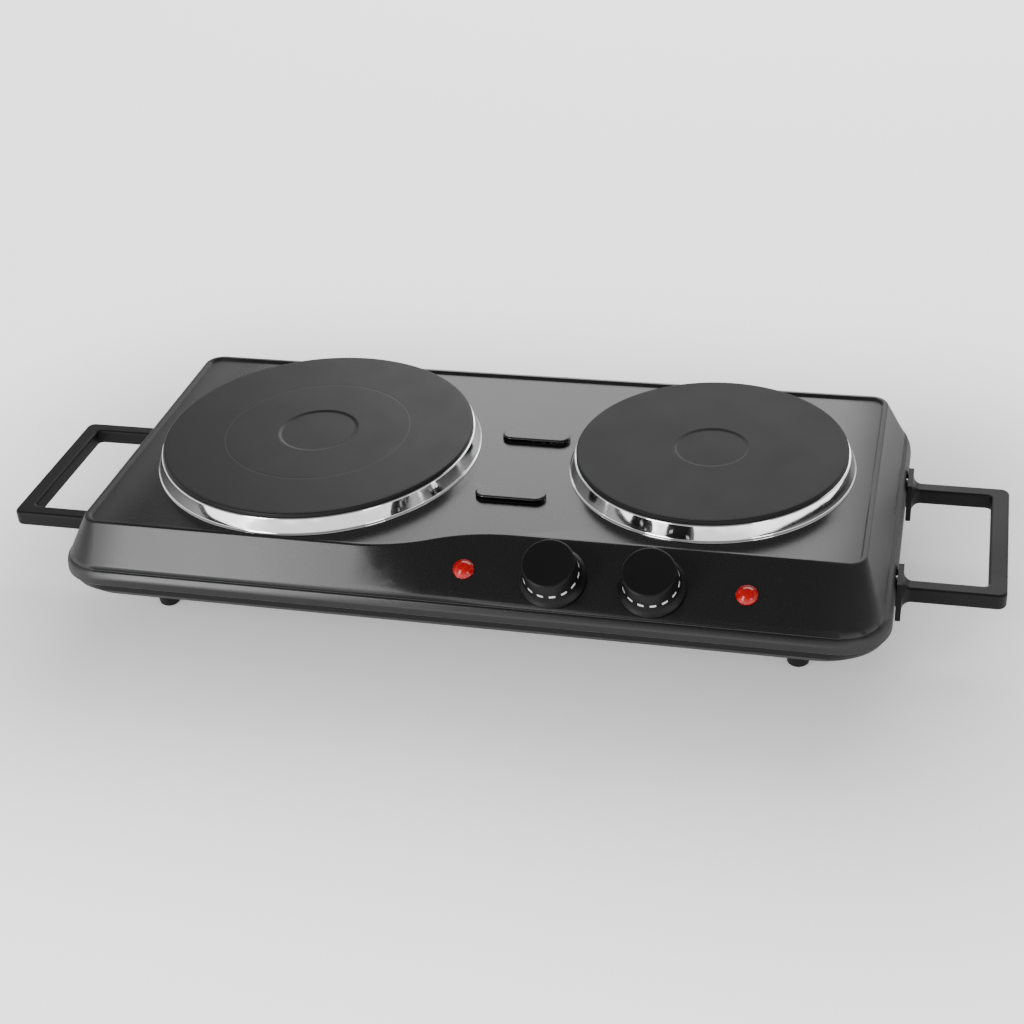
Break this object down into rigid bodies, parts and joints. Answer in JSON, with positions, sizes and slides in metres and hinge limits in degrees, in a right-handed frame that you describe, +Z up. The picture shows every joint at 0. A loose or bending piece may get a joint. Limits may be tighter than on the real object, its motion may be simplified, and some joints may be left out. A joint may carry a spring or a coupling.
{
  "type": "double hot plate",
  "caption": "Electric countertop hot plate: large and small round iron plates with chrome trim on a black steel body, sloping panel with turning knobs and red lamps, loop handles, rubber feet.",
  "frame": {"origin": "on the table, under the middle of the body's overall box", "axes": "+X to the user's right, +Y to the back, +Z up"},
  "size_m": [0.5858, 0.238, 0.0809],
  "materials": {
    "enamelled_steel": "gloss black stove enamel",
    "base_steel": "satin black paint",
    "black_plastic": "fine moulded texture",
    "cast_iron": "turned, with a dark heat-proof coat",
    "chrome_trim": "polished",
    "zinc_steel": "zinc plated",
    "heating_wire": "oxidised resistance wire",
    "white_ceramic": "unglazed",
    "red_lens": "clear red, faceted inside",
    "lamp_glass": "clear",
    "black_rubber": "matte",
    "brass": "plain",
    "brown_wire": "heat-proof sleeve",
    "black_wire": "heat-proof sleeve",
    "blue_wire": "heat-proof sleeve",
    "green_wire": "heat-proof sleeve"
  },
  "bodies": {
    "housing": {"back_left_foot": "black_rubber", "back_right_foot": "black_rubber", "base_plate": "base_steel", "clamp_nuts": "zinc_steel", "cord_bushing": "black_rubber", "earth_screw": "brass", "earth_wire": "green_wire", "foot_studs": "zinc_steel", "front_left_foot": "black_rubber", "front_right_foot": "black_rubber", "handle_screws": "zinc_steel", "lamp_clips": "zinc_steel", "large_clamp_strap": "zinc_steel", "large_clamp_stud": "zinc_steel", "large_cover_pan": "zinc_steel", "large_heating_coil": "heating_wire", "large_insulation_disc": "white_ceramic", "large_live_wire": "brown_wire", "large_neutral_wire": "blue_wire", "large_plate": "cast_iron", "large_plate_terminals": "white_ceramic", "large_switched_wire": "black_wire", "large_thermostat": "white_ceramic", "large_trim_ring": "chrome_trim", "left_handle": "black_plastic", "left_lamp_bulb": "lamp_glass", "left_lamp_lens": "red_lens", "mains_terminal_block": "white_ceramic", "right_handle": "black_plastic", "right_lamp_bulb": "lamp_glass", "right_lamp_lens": "red_lens", "small_clamp_strap": "zinc_steel", "small_clamp_stud": "zinc_steel", "small_cover_pan": "zinc_steel", "small_heating_coil": "heating_wire", "small_insulation_disc": "white_ceramic", "small_live_wire": "brown_wire", "small_neutral_wire": "blue_wire", "small_plate": "cast_iron", "small_plate_terminals": "white_ceramic", "small_switched_wire": "black_wire", "small_thermostat": "white_ceramic", "small_trim_ring": "chrome_trim", "support_posts": "zinc_steel", "terminal_screws": "brass", "thermostat_nuts": "zinc_steel", "top_housing": "enamelled_steel"},
    "large_dial": {"large_knob": "black_plastic", "large_thermostat_shaft": "zinc_steel", "large_knob_clip": "zinc_steel"},
    "small_dial": {"small_knob": "black_plastic", "small_thermostat_shaft": "zinc_steel", "small_knob_clip": "zinc_steel"}
  },
  "joints": [
    {"name": "large_knob_turn", "type": "hinge", "parent": "housing", "child": "large_dial", "pos_m": [0.0562, -0.09771, 0.05811], "axis": [0, -0.4872, 0.8733], "range_deg": [-275, 0]},
    {"name": "small_knob_turn", "type": "hinge", "parent": "housing", "child": "small_dial", "pos_m": [0.11, -0.09771, 0.05811], "axis": [0, -0.4872, 0.8733], "range_deg": [-275, 0]}
  ]
}
